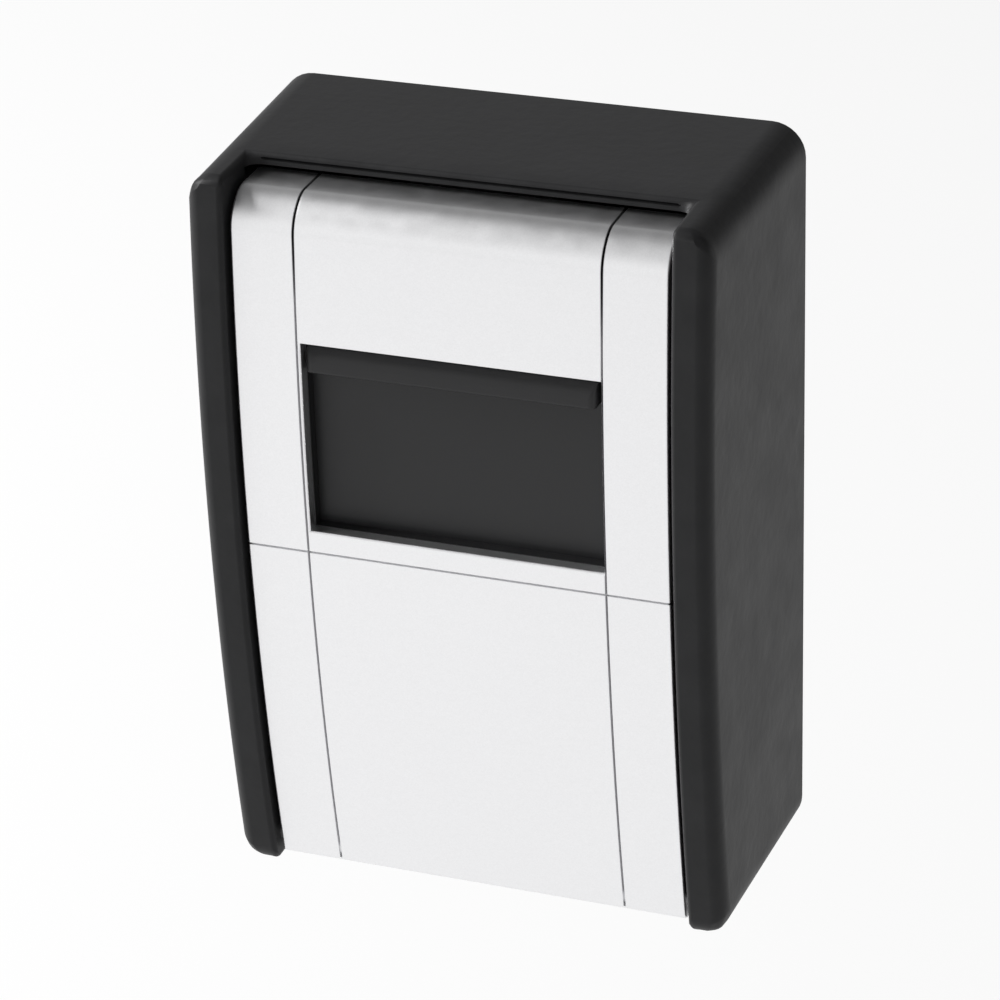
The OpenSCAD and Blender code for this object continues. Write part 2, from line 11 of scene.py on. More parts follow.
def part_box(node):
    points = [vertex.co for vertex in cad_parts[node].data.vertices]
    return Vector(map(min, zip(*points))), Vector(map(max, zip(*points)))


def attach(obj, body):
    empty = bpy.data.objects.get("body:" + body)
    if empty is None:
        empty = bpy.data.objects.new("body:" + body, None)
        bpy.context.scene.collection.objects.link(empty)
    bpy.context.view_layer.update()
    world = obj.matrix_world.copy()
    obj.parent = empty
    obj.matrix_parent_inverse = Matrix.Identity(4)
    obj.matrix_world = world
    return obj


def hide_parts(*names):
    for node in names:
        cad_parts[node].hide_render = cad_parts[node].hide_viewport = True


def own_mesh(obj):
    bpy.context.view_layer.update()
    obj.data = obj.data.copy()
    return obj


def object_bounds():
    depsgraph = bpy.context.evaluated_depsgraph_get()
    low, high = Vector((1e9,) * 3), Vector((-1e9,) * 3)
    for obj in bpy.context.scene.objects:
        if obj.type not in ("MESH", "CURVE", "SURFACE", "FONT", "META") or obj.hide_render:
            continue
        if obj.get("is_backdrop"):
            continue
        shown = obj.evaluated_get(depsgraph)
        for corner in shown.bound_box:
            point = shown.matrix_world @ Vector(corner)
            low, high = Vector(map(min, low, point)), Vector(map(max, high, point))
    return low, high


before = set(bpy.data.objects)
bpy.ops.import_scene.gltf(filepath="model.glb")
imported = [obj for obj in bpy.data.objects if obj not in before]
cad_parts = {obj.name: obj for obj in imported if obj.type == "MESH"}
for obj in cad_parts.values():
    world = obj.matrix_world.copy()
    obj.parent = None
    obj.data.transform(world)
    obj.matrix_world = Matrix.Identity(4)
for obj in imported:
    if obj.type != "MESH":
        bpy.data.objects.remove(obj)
CAD_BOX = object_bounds()

bl_info = {
    "name": "Combination Key Safe",
    "version": (1, 0, 0),
    "blender": (4, 5, 0),
    "location": "View3D > Sidebar > Key Safe",
    "description": "Builds the finished pieces of a wall-mounted combination key safe",
    "category": "Object",
}

MM = 0.001

# Housing, in millimetres in the part's own frame
RECESS_HALF = 34.1
CAVITY_HALF = 37.4
LIP_Y = -31.0
CAVITY_TOP = 58.17
BACK_WALL = 2.5
FOOT_WALL_Y = -29.19
FOOT_WALL_TOP = -57.5
HINGE_Z = -55.2
STRIKE_HALF = 11.0
STRIKE_Y = (-26.0, -23.5)
STRIKE_LOW = 54.0
CHEEK_BOW_R = 471.5
DOOR_BOW_R = 470.0
BOW_CENTRE_Y = 428.1
BOW_CENTRE_Z = 18.3
CHEEK_BOW_Y = (-37.9, -31.0)
TOP_DRAFT_FROM = 20.0
TOP_DRAFT_SHARE = 0.15
HOUSING_STEP = 3.0
LIP_CREASE_Z = 59.08
LIP_CREASE_HALF = 0.26
WALL_HOLE_X = 24.0
WALL_HOLE_Z = 38.0
WALL_HOLE_R = 2.6

# Door
DOOR_WALL = 1.7
FLANGE_Y = -31.6
REVEAL_Y = -38.2
WINDOW_X = (-22.95, 23.4)
WINDOW_Z = (3.8, 34.55)
WINDOW_RIM = 2.6
GROOVE_X = 23.53
GROOVE_Z = 0.16
BOSS_X = 28.8
BOSS_Z = (-27.6, 43.6)
BOSS_R = 2.4
BOSS_END_Y = -35.0
HINGE_Y = -33.417
KNUCKLE_R = 2.5
KNUCKLE_LEN = 10.0
KNUCKLE_GAP = 0.3
BOW_STEP = 2.5

# Painted shade in the grooves, which darkens the silver where shade falls in them: how far below the roll it
# fades, what the face keeps of it, how much of the paint it leaves and its strength at a groove's shoulder
SHADE_LAYER = "groove_shade"
SHADE_FADE = 12.0
FACE_SHADE = 0.15
SHADE_LEFT = 0.12
SHOULDER_SHADE = 0.8

# Dark lining at the back of the window's reveal, painted shade in place of the shadow there: how far it
# stands proud of the reveal, is let into it, is set back from the front and runs on past the reveal
SURROUND_PROUD = 0.12
SURROUND_SUNK = 0.5
SURROUND_SET = 2.0
SURROUND_PAST = 0.1

# Shutter
RIDGE_X = (-22.75, 22.4)
RIDGE_Z = (29.7, 34.2)
RIDGE_FRONT = -41.2
PANEL_FRONT = -37.95
PANEL_EDGE = 0.2

# Dials
DIAL_AXIS_Y = -28.0
DIAL_AXIS_Z = 16.5
DIAL_STEP = math.radians(36)
NUMERAL_LIFT = 0.03
NUMERAL_BANDS = 14
FONT_SCALE = 1.37
CODE = (4, 1, 8, 6)

# Screws and springs, each place as x, y, z of the underside of a head or the foot of a coil
FRAME_SCREWS = [(x, -33.2, z) for x in (-BOSS_X, BOSS_X) for z in BOSS_Z]
COVER_SCREWS = [(x, -17.3, z) for x in (-27.8, 27.8) for z in (4.0, 36.0)]
LATCH_COILS = [(x, -22.85, 36.35) for x in (-9.0, 9.0)]

# Camera of the photograph
CAMERA_PLACE = (191.317, -523.612, 276.597)
CAMERA_TURN = (20.881, 27.024, -1.903)
CAMERA_LENS = 142.93
CAMERA_SENSOR = 36.0

# Stage, in metres
FLOOR_REACH = 6.0
KEY_PLACE = (-2.15, -0.3, 1.35)
KEY_SIZE = 1.2

# Fades of the soft light all round: axis of the direction, where it starts and ends, and its level at each
BACK_LOSS = ("Y", -0.5, 0.5, 0.0, 1.0)
LOW_LOSS = ("Z", -0.25, 0.1, 0.93, 0.5)
OVERHEAD_FADE = ("Z", 0.3, 0.9, 1.0, 0.2)
RIGHT_FADE = ("X", 0.0, 0.8, 1.0, 0.35)

# Finishes
FLAKE_SCALE = 5200.0
CLOUD_DETAIL = 4.0
GRAIN_DETAIL = 2.0
CLOUD_RANGE = (0.3, 0.7)


def length(name, description, millimetres):
    """A length property, kept in metres."""
    return bpy.props.FloatProperty(
        name=name, description=description, default=millimetres * MM, min=0.0, unit="LENGTH", precision=5)


def colour(name, description, default):
    """A colour property."""
    return bpy.props.FloatVectorProperty(
        name=name, description=description, default=default, size=3, min=0.0, max=1.0, subtype="COLOR")


class HousingSettings(bpy.types.PropertyGroup):
    """Sizes and colour of the cast housing"""

    paint: colour("Paint", "Satin black paint of the housing", (0.0255, 0.0255, 0.0265))
    corner: length("Corner radius", "Rounding of the four long corners", 5.2)
    cheek_outer: length("Cheek outer edge", "Rounding of the outer front edge of each cheek", 2.9)
    cheek_inner: length("Cheek inner edge", "Rounding of the inner front edge of each cheek", 1.0)
    cheek_head: length("Cheek head", "Rounding at the top of each cheek, seen from the side", 1.8)
    cheek_foot: length("Cheek foot", "Rounding at the bottom of each cheek, seen from the side", 3.5)
    cheek_toe: length("Cheek toe", "Rounding of the inner corner at the bottom of each cheek", 2.1)
    lip_edge: length("Lip edge", "Rounding along the top of the lip", 0.6)
    lip_crease: length("Lip crease", "Depth of the crease along the lip's face", 0.8)
    lip_roll: length("Lip roll", "How far back from the lip the top starts to bend down", 5.0)
    lip_corner: length("Lip corner", "Hollow rounding where the lip meets a cheek", 2.4)
    back_edge: length("Back edge", "Rounding around the wall side", 0.25)
    side_draft: length("Side draft", "How far each side leans in towards the front", 1.7)
    top_draft: length("Top draft", "How far the top leans down towards the front", 0.8)


class DoorSettings(bpy.types.PropertyGroup):
    """Sizes and colour of the door"""

    paint: colour("Paint", "Satin silver paint of the door", (0.90, 0.90, 0.91))
    roll: length("Rolled top", "Radius of the rolled top edge", 5.5)
    foot: length("Foot edge", "Rounding of the bottom edge", 1.0)
    side_edge: length("Side edge", "Rounding of the two side edges", 0.35)
    window_edge: length("Window edge", "Rounding around the window", 0.35)
    groove_half: length("Groove half width", "Half the width of the grooves", 0.30)
    groove_dip: length("Groove dip", "Depth of the hollow on each side of a groove", 0.01)
    crease_half: length("Crease half width", "Half the width of the crease in a groove", 0.17)
    groove_depth: length("Groove depth", "Depth of the crease in a groove", 0.6)


class LockSettings(bpy.types.PropertyGroup):
    """Sizes and colours of the shutter and the works behind it"""

    shutter: colour("Shutter", "Dark grey plastic of the shutter", (0.013, 0.013, 0.014))
    carrier: colour("Carrier", "Black plastic of the carrier and the rear cover", (0.013, 0.013, 0.014))
    dial: colour("Dials", "Black plastic of the dials", (0.016, 0.016, 0.017))
    numeral: colour("Numerals", "White paint of the numerals", (0.82, 0.82, 0.80))
    button: colour("Button", "Plastic of the release button", (0.10, 0.10, 0.105))
    tab: colour("Code tab", "Plastic of the tab that sets a new code", (0.45, 0.05, 0.03))
    ridge_top: length("Ridge top", "Rounding of the ridge's upper edge", 2.6)
    ridge_foot: length("Ridge foot", "Rounding of the ridge's lower edge", 0.5)
    ridge_lean: length("Ridge lean", "How far the ridge's front falls back towards its top", 0.8)
    numeral_height: length("Numeral height", "Height of the numerals on the dials", 4.4)
    screw_head: length("Screw head", "Radius of the screw heads", 2.2)
    screw_rise: length("Screw rise", "Height of the screw heads", 1.4)
    coil: length("Coil radius", "Radius of the latch springs at the middle of the wire", 1.7)
    wire: length("Wire radius", "Radius of the latch springs' wire", 0.35)


class StageSettings(bpy.types.PropertyGroup):
    """Floor and light"""

    floor: colour("Floor", "Pale floor under the safe", (0.93, 0.93, 0.93))
    white: bpy.props.FloatProperty(
        name="White", description="Share of plain white in the floor as the camera sees it",
        default=0.7, min=0.0, max=1.0)
    drop: length("Drop", "How far the safe hangs above the floor", 300.0)
    sky: bpy.props.FloatProperty(
        name="Sky", description="Strength of the soft light all round", default=0.94, min=0.0)
    key: bpy.props.FloatProperty(
        name="Key", description="Power of the main lamp", default=86.0, min=0.0, unit="POWER")


class KeySafeSettings(bpy.types.PropertyGroup):
    """All settings of the key safe"""

    housing: bpy.props.PointerProperty(type=HousingSettings)
    door: bpy.props.PointerProperty(type=DoorSettings)
    lock: bpy.props.PointerProperty(type=LockSettings)
    stage: bpy.props.PointerProperty(type=StageSettings)


def millimetres(settings):
    """The number properties of a group, lengths turned into millimetres."""
    return {name: getattr(settings, name) / MM for name, kind in settings.bl_rna.properties.items()
            if kind.type == "FLOAT" and not kind.is_array}


def box_mm(node):
    """Lowest and highest corner of a CAD node, in millimetres."""
    low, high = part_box(node)
    return [c / MM for c in low], [c / MM for c in high]


def grid_solid(xs, ys, zs, is_solid):
    """A closed bmesh round the grid cells whose middle is_solid accepts."""
    bm = bmesh.new()
    corners = {}

    def corner(place):
        if place not in corners:
            corners[place] = bm.verts.new((xs[place[0]], ys[place[1]], zs[place[2]]))
        return corners[place]

    lines = (sorted(xs), sorted(ys), sorted(zs))
    xs, ys, zs = lines
    filled = set()
    for i in range(len(xs) - 1):
        for j in range(len(ys) - 1):
            for k in range(len(zs) - 1):
                middle = [(line[n] + line[n + 1]) / 2 for line, n in zip(lines, (i, j, k))]
                if is_solid(*middle):
                    filled.add((i, j, k))
    for cell in sorted(filled):
        for axis in range(3):
            for side in (0, 1):
                beside = list(cell)
                beside[axis] += 2 * side - 1
                if tuple(beside) in filled:
                    continue
                ring = []
                for step_a, step_b in ((0, 0), (1, 0), (1, 1), (0, 1)):
                    place = list(cell)
                    place[axis] += side
                    place[(axis + 1) % 3] += step_a
                    place[(axis + 2) % 3] += step_b
                    ring.append(corner(tuple(place)))
                bm.faces.new(ring if side else ring[::-1])
    merge_flat(bm)
    return bm


def flat_regions(bm):
    """The faces of the bmesh in lists, one for each flat area."""
    regions, seen = [], set()
    for face in bm.faces:
        if face in seen:
            continue
        seen.add(face)
        region = [face]
        for member in region:
            for edge in member.edges:
                for beside in edge.link_faces:
                    if beside not in seen and beside.normal.dot(face.normal) > 0.999:
                        seen.add(beside)
                        region.append(beside)
        regions.append(region)
    return regions


def outlines(region):
    """The closed outlines of a flat area, each as a set of vertices."""
    members = set(region)
    loops = []
    for face in region:
        for edge in face.edges:
            if sum(beside in members for beside in edge.link_faces) == 1:
                joined = [loop for loop in loops if loop & set(edge.verts)]
                loops = [loop for loop in loops if loop not in joined]
                loops.append(set(edge.verts).union(*joined))
    return loops


def merge_flat(bm):
    """Joins the cells of each flat area into one face, or two where it has a hole."""
    bm.normal_update()
    for region in flat_regions(bm):
        loops = outlines(region)
        parts = [region]
        if len(loops) > 1:
            hole = min(loops, key=len)
            axis = min(range(3), key=lambda n: abs(region[0].normal[n]) > 0.5)
            middle = sum(v.co[axis] for v in hole) / len(hole)
            parts = [[f for f in region if f.calc_center_median()[axis] < middle - 0.01],
                     [f for f in region if f.calc_center_median()[axis] >= middle - 0.01]]
        for part in parts:
            if len(part) > 1:
                bmesh.ops.dissolve_faces(bm, faces=part)
    straight = []
    for vert in bm.verts:
        if len(vert.link_edges) == 2:
            a, b = ((edge.other_vert(vert).co - vert.co).normalized() for edge in vert.link_edges)
            if a.dot(b) < -0.999:
                straight.append(vert)
    bmesh.ops.dissolve_verts(bm, verts=straight)


def linked(mesh, name):
    """A new scene object for a mesh."""
    obj = bpy.data.objects.new(name, mesh)
    bpy.context.scene.collection.objects.link(obj)
    return obj


def baked(obj):
    """A plain mesh of obj with its modifiers applied. The object itself is removed."""
    graph = bpy.context.evaluated_depsgraph_get()
    mesh = bpy.data.meshes.new_from_object(
        obj.evaluated_get(graph), preserve_all_data_layers=True, depsgraph=graph)
    old = obj.data
    bpy.data.objects.remove(obj)
    if old.users == 0 and isinstance(old, bpy.types.Mesh):
        bpy.data.meshes.remove(old)
    return mesh


def rounded(bm, radius_of, segments):
    """The bmesh again, with each sharp edge rounded by radius_of(its middle, its axis)."""
    layers = bm.edges.layers.float
    weight = layers.get("bevel_weight_edge") or layers.new("bevel_weight_edge")
    radii = {}
    for edge in bm.edges:
        edge[weight] = 0.0
        if edge.calc_face_angle(0.0) < 0.2:
            continue
        a, b = (v.co for v in edge.verts)
        axis = max(range(3), key=lambda n: abs(b[n] - a[n]))
        radii[edge] = radius_of((a + b) / 2, axis)
    widest = max(radii.values())
    for edge, radius in radii.items():
        edge[weight] = radius / widest
    mesh = bpy.data.meshes.new("rounding")
    bm.to_mesh(mesh)
    bm.free()
    obj = linked(mesh, "rounding")
    bevel = obj.modifiers.new("Rounding", "BEVEL")
    bevel.limit_method = "WEIGHT"
    bevel.width = widest
    bevel.segments = segments
    bevel.use_clamp_overlap = False
    mesh = baked(obj)
    result = bmesh.new()
    result.from_mesh(mesh)
    bpy.data.meshes.remove(mesh)
    bmesh.ops.remove_doubles(result, verts=result.verts[:], dist=1e-4)
    bmesh.ops.connect_verts_concave(result, faces=result.faces[:])
    return result


def slice_at(bm, axis, places):
    """Adds edge loops where the planes at these places cut the bmesh."""
    normal = [0.0, 0.0, 0.0]
    normal[axis] = 1.0
    for place in places:
        point = [place * n for n in normal]
        bmesh.ops.bisect_plane(
            bm, geom=bm.verts[:] + bm.edges[:] + bm.faces[:], dist=1e-5, plane_co=point, plane_no=normal)


def near(value, target):
    """True where two places in millimetres are the same."""
    return abs(value - target) < 0.01


def bow_y(radius, z):
    """Depth of the bowed front of that radius at a height."""
    return BOW_CENTRE_Y - math.sqrt(radius ** 2 - (z - BOW_CENTRE_Z) ** 2)


def clamp(value, low=0.0, high=1.0):
    """The value, held between two limits."""
    return max(low, min(high, value))


def finished_mesh(bm, smooth_angle=32.0):
    """A mesh in metres from a bmesh in millimetres, smooth except over sharp edges."""
    mesh = bpy.data.meshes.new("finished")
    bmesh.ops.dissolve_degenerate(bm, dist=1e-5, edges=bm.edges[:])
    bm.to_mesh(mesh)
    bm.free()
    mesh.transform(Matrix.Scale(MM, 4))
    mesh.polygons.foreach_set("use_smooth", [True] * len(mesh.polygons))
    mesh.set_sharp_from_angle(angle=math.radians(smooth_angle))
    obj = linked(mesh, "finished")
    normals = obj.modifiers.new("Normals", "WEIGHTED_NORMAL")
    normals.keep_sharp = True
    normals.weight = 50
    return baked(obj)


def add_piece(mesh, name, body, slot_name, material, *nodes):
    """A finished piece at the origin, on its body, in its material, in place of its CAD nodes."""
    mesh.name = name
    mesh.materials.clear()
    mesh.materials.append(material)
    obj = linked(mesh, name)
    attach(obj, body)
    if nodes:
        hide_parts(*nodes)
    return obj


def edge_finished(node, edge):
    """A copy of a CAD node's mesh with its triangles merged and its sharp edges broken."""
    bm = bmesh.new()
    bm.from_mesh(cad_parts[node].data)
    bmesh.ops.transform(bm, matrix=Matrix.Scale(1 / MM, 4), verts=bm.verts[:])
    bmesh.ops.remove_doubles(bm, verts=bm.verts[:], dist=1e-3)
    bmesh.ops.dissolve_limit(bm, angle_limit=0.01, verts=bm.verts[:], edges=bm.edges[:])
    mesh = bpy.data.meshes.new(node)
    bm.to_mesh(mesh)
    bm.free()
    obj = linked(mesh, node + "_edges")
    bevel = obj.modifiers.new("Edges", "BEVEL")
    bevel.limit_method = "ANGLE"
    bevel.angle_limit = math.radians(38)
    bevel.width = edge
    bevel.segments = 2
    mesh = baked(obj)
    bm = bmesh.new()
    bm.from_mesh(mesh)
    bpy.data.meshes.remove(mesh)
    return finished_mesh(bm, 40.0)


def add_tube(bm, start, end, radius, edge=0.2, sides=40):
    """Adds a closed round bar with broken ends to the bmesh."""
    start, end = Vector(start), Vector(end)
    along = (end - start).normalized()
    turn = along.to_track_quat("Z", "Y")
    rings = []
    for place, r in ((start, radius - edge), (start + along * edge, radius),
                     (end - along * edge, radius), (end, radius - edge)):
        ring = []
        for n in range(sides):
            angle = 2 * math.pi * n / sides
            spoke = Vector((r * math.cos(angle), r * math.sin(angle), 0.0))
            ring.append(bm.verts.new(place + turn @ spoke))
        rings.append(ring)
    for ring_a, ring_b in zip(rings, rings[1:]):
        for n in range(sides):
            m = (n + 1) % sides
            bm.faces.new((ring_a[n], ring_a[m], ring_b[m], ring_b[n]))
    bm.faces.new(rings[0][::-1])
    bm.faces.new(rings[-1])


def joined_node(tree, kind, fields=None, **sockets):
    """A new node with its settings, and each socket set to a value or linked from another."""
    node = tree.nodes.new(kind)
    for label, value in (fields or {}).items():
        setattr(node, label, value)
    for label, value in sockets.items():
        socket = node.inputs[label.replace("_", " ")]
        if isinstance(value, bpy.types.NodeSocket):
            tree.links.new(value, socket)
        else:
            socket.default_value = value
    return node


def combined(tree, operation, a, b):
    """A socket that holds two numbers, each a value or a socket, put together."""
    node = joined_node(tree, "ShaderNodeMath", {"operation": operation})
    for value, socket in zip((a, b), node.inputs):
        if isinstance(value, bpy.types.NodeSocket):
            tree.links.new(value, socket)
        else:
            socket.default_value = value
    return node.outputs[0]


def scaled(tree, value, factor):
    """A socket that holds another socket's number times a factor."""
    return combined(tree, "MULTIPLY", value, factor)


def ranged(tree, value, **limits):
    """A socket that holds another socket's number, moved from one range to another."""
    return joined_node(tree, "ShaderNodeMapRange", Value=value, **limits).outputs["Result"]


def dimmed(tree, tone, level):
    """A socket that holds a colour times another socket's number."""
    node = joined_node(tree, "ShaderNodeVectorMath", {"operation": "SCALE"}, Scale=level)
    tree.links.new(tone, node.inputs[0])
    return node.outputs["Vector"]


def surface(name, base, variation, roughness, spread, cloud, grain, depth,
            metallic=0.0, specular=0.5, stretch=(1.0, 1.0, 1.0), flake=0.0, painted_shade_attribute=""):
    """A node material: a clouded base colour and roughness, a fine grain in relief, and painted shade from a
    named attribute.
    """
    material = bpy.data.materials.new(name)
    material.use_nodes = True
    tree = material.node_tree
    shader = tree.nodes["Principled BSDF"]
    shader.inputs["Metallic"].default_value = metallic
    shader.inputs["Specular IOR Level"].default_value = specular
    place = joined_node(tree, "ShaderNodeTexCoord").outputs["Object"]
    drawn = joined_node(tree, "ShaderNodeMapping", Vector=place, Scale=stretch).outputs["Vector"]
    clouds = joined_node(
        tree, "ShaderNodeTexNoise", Vector=drawn, Scale=cloud, Detail=CLOUD_DETAIL).outputs["Fac"]
    tone = joined_node(
        tree, "ShaderNodeMix", {"data_type": "RGBA"}, Factor=clouds,
        A=(*[c * (1 - variation) for c in base], 1.0),
        B=(*[min(1.0, c * (1 + variation)) for c in base], 1.0)).outputs["Result"]
    if flake:
        flakes = joined_node(tree, "ShaderNodeTexVoronoi", Vector=place, Scale=FLAKE_SCALE).outputs["Color"]
        tone = dimmed(tree, tone, ranged(tree, flakes, To_Min=1.0 - flake, To_Max=1.0 + flake))
    # painted shade: the named attribute darkens the base colour, down to SHADE_LEFT of it
    if painted_shade_attribute:
        painted_shade = joined_node(tree, "ShaderNodeAttribute", {"attribute_name": painted_shade_attribute}).outputs["Fac"]
        tone = dimmed(tree, tone, ranged(tree, painted_shade, To_Min=1.0, To_Max=SHADE_LEFT))
    gloss = ranged(tree, clouds, From_Min=CLOUD_RANGE[0], From_Max=CLOUD_RANGE[1],
                   To_Min=roughness - spread, To_Max=roughness + spread)
    relief = joined_node(
        tree, "ShaderNodeTexNoise", Vector=drawn, Scale=grain, Detail=GRAIN_DETAIL).outputs["Fac"]
    bump = joined_node(tree, "ShaderNodeBump", Distance=depth, Height=relief).outputs["Normal"]
    for label, socket in (("Base Color", tone), ("Roughness", gloss), ("Normal", bump)):
        tree.links.new(socket, shader.inputs[label])
    return material


def safe_finish(name):
    """The named finish, made on first use."""
    made = bpy.data.materials.get(name)
    if made:
        return made
    s = bpy.context.scene.key_safe
    lock = s.lock
    recipes = {
        "satin_black_paint": dict(base=s.housing.paint, variation=0.25, roughness=0.44, spread=0.03,
                                  cloud=160.0, grain=520.0, depth=0.000045, specular=0.12),
        # the silver paint takes painted shade in its grooves from SHADE_LAYER
        "satin_silver_paint": dict(base=s.door.paint, variation=0.012, roughness=0.37, spread=0.02,
                                   cloud=300.0, grain=1500.0, depth=0.000006, metallic=1.0, flake=0.025,
                                   painted_shade_attribute=SHADE_LAYER),
        "shutter_plastic": dict(base=lock.shutter, variation=0.12, roughness=0.42, spread=0.03,
                                cloud=250.0, grain=2600.0, depth=0.000010, specular=0.4),
        "carrier_plastic": dict(base=lock.carrier, variation=0.2, roughness=0.5, spread=0.04,
                                cloud=200.0, grain=2200.0, depth=0.000015, specular=0.4),
        "dial_plastic": dict(base=lock.dial, variation=0.2, roughness=0.34, spread=0.03,
                             cloud=300.0, grain=2400.0, depth=0.000006),
        "numeral_paint": dict(base=lock.numeral, variation=0.03, roughness=0.45, spread=0.03,
                              cloud=900.0, grain=3000.0, depth=0.000004),
        "button_plastic": dict(base=lock.button, variation=0.12, roughness=0.4, spread=0.03,
                               cloud=300.0, grain=2400.0, depth=0.000010),
        "tab_plastic": dict(base=lock.tab, variation=0.1, roughness=0.38, spread=0.03,
                            cloud=300.0, grain=2400.0, depth=0.000008),
        "zinc_plated_steel": dict(base=(0.60, 0.60, 0.60), variation=0.1, roughness=0.33, spread=0.06,
                                  cloud=260.0, grain=900.0, depth=0.000006, metallic=1.0,
                                  stretch=(0.25, 1.0, 1.0)),
        "screw_steel": dict(base=(0.52, 0.52, 0.53), variation=0.12, roughness=0.3, spread=0.05,
                            cloud=500.0, grain=1800.0, depth=0.000006, metallic=1.0),
        "spring_steel": dict(base=(0.40, 0.40, 0.42), variation=0.12, roughness=0.28, spread=0.05,
                             cloud=500.0, grain=1600.0, depth=0.000005, metallic=1.0),
        "turned_brass": dict(base=(0.62, 0.43, 0.17), variation=0.1, roughness=0.32, spread=0.06,
                             cloud=420.0, grain=2000.0, depth=0.000006, metallic=1.0,
                             stretch=(3.0, 1.0, 1.0)),
    }
    recipe = dict(recipes[name])
    recipe["base"] = tuple(recipe["base"])
    return surface(name, **recipe)


def housing_mesh(size):
    """The cast box: cheeks, lip, compartment, strike and wall holes."""
    low, high = box_mm("housing")
    half, front, foot, head = high[0], low[1], low[2], high[2]
    depth = -front

    def is_solid(x, y, z):
        inside = abs(x) < RECESS_HALF
        if inside and y < LIP_Y:
            return False
        if inside and y < FOOT_WALL_Y and z < HINGE_Z:
            return False
        hollow = abs(x) < CAVITY_HALF and LIP_Y < y < -BACK_WALL and FOOT_WALL_TOP < z < CAVITY_TOP
        strike = abs(x) < STRIKE_HALF and STRIKE_Y[0] < y < STRIKE_Y[1] and z > STRIKE_LOW
        return strike or not hollow

    def radius_of(middle, axis):
        x, y, z = abs(middle.x), middle.y, middle.z
        at_front = near(y, front)
        outer, inner = near(x, half), near(x, RECESS_HALF)
        ends = near(z, head) or near(z, foot)
        if axis == 1:
            if outer and ends:
                return size["corner"]
            if inner and near(z, foot):
                return size["cheek_toe"]
            return size["cheek_inner"] if inner and near(z, head) else 0.0
        if axis == 2:
            if at_front:
                return size["cheek_outer"] if outer else size["cheek_inner"]
            return size["lip_corner"] if inner and near(y, LIP_Y) and z > CAVITY_TOP else 0.0
        if at_front:
            return size["cheek_head"] if near(z, head) else size["cheek_foot"]
        if near(y, LIP_Y) and near(z, head):
            return size["lip_edge"]
        return size["cheek_inner"] if near(y, FOOT_WALL_Y) and near(z, foot) else 0.0

    bm = grid_solid(
        [-half, -CAVITY_HALF, -RECESS_HALF, -STRIKE_HALF, STRIKE_HALF, RECESS_HALF, CAVITY_HALF, half],
        [front, LIP_Y, FOOT_WALL_Y, *STRIKE_Y, -BACK_WALL, 0.0],
        [foot, FOOT_WALL_TOP, HINGE_Z, STRIKE_LOW, CAVITY_TOP, head], is_solid)
    bm = rounded(bm, radius_of, 8)
    bm = rounded(bm, lambda middle, axis: size["back_edge"] if near(middle.y, 0.0) else 0.0, 4)
    slice_at(bm, 2, [HOUSING_STEP * n for n in range(-18, 19)])
    slice_at(bm, 2, [LIP_CREASE_Z + LIP_CREASE_HALF * n for n in (-1, 0, 1)])
    slice_at(bm, 1, [*CHEEK_BOW_Y, *(LIP_Y + size["lip_roll"] * n / 6 for n in range(1, 7))])
    for vert in bm.verts:
        x, y, z = vert.co
        creased = near(y, LIP_Y) and near(z, LIP_CREASE_Z) and abs(x) < RECESS_HALF
        full, none = CHEEK_BOW_Y
        y += (bow_y(CHEEK_BOW_R, z) - front) * clamp((none - y) / (none - full))
        lean = -y / depth
        middle = clamp((CAVITY_HALF - abs(x)) / (CAVITY_HALF - RECESS_HALF + size["lip_corner"]))
        bend = clamp((LIP_Y + size["lip_roll"] - y) / size["lip_roll"]) ** 2
        held = ((bend - 1.0) * lean + (1.0 - bend) * lean * TOP_DRAFT_SHARE) * middle
        sink = lean + held * (y >= LIP_Y - 0.01)
        drawn = clamp((abs(x) - RECESS_HALF) / (half - RECESS_HALF))
        vert.co = (
            x - math.copysign(size["side_draft"] * lean * drawn, x),
            y + size["lip_crease"] * creased,
            z - size["top_draft"] * sink * clamp((z - TOP_DRAFT_FROM) / (head - TOP_DRAFT_FROM)))
    cutter = bmesh.new()
    for x in (-WALL_HOLE_X, WALL_HOLE_X):
        for z in (-WALL_HOLE_Z, WALL_HOLE_Z):
            add_tube(cutter, (x, -BACK_WALL - 1.0, z), (x, 1.0, z), WALL_HOLE_R)
    return finished_mesh(cut_away(bm, cutter))


def cut_away(bm, cutter):
    """The bmesh with the cutter's solids taken out of it."""
    meshes = []
    for part in (bm, cutter):
        mesh = bpy.data.meshes.new("cut")
        part.to_mesh(mesh)
        part.free()
        meshes.append(mesh)
    body, tool = (linked(mesh, "cut") for mesh in meshes)
    cut = body.modifiers.new("Cut", "BOOLEAN")
    cut.operation = "DIFFERENCE"
    cut.solver = "EXACT"
    cut.object = tool
    mesh = baked(body)
    bpy.data.objects.remove(tool)
    bpy.data.meshes.remove(meshes[1])
    result = bmesh.new()
    result.from_mesh(mesh)
    bpy.data.meshes.remove(mesh)
    return result


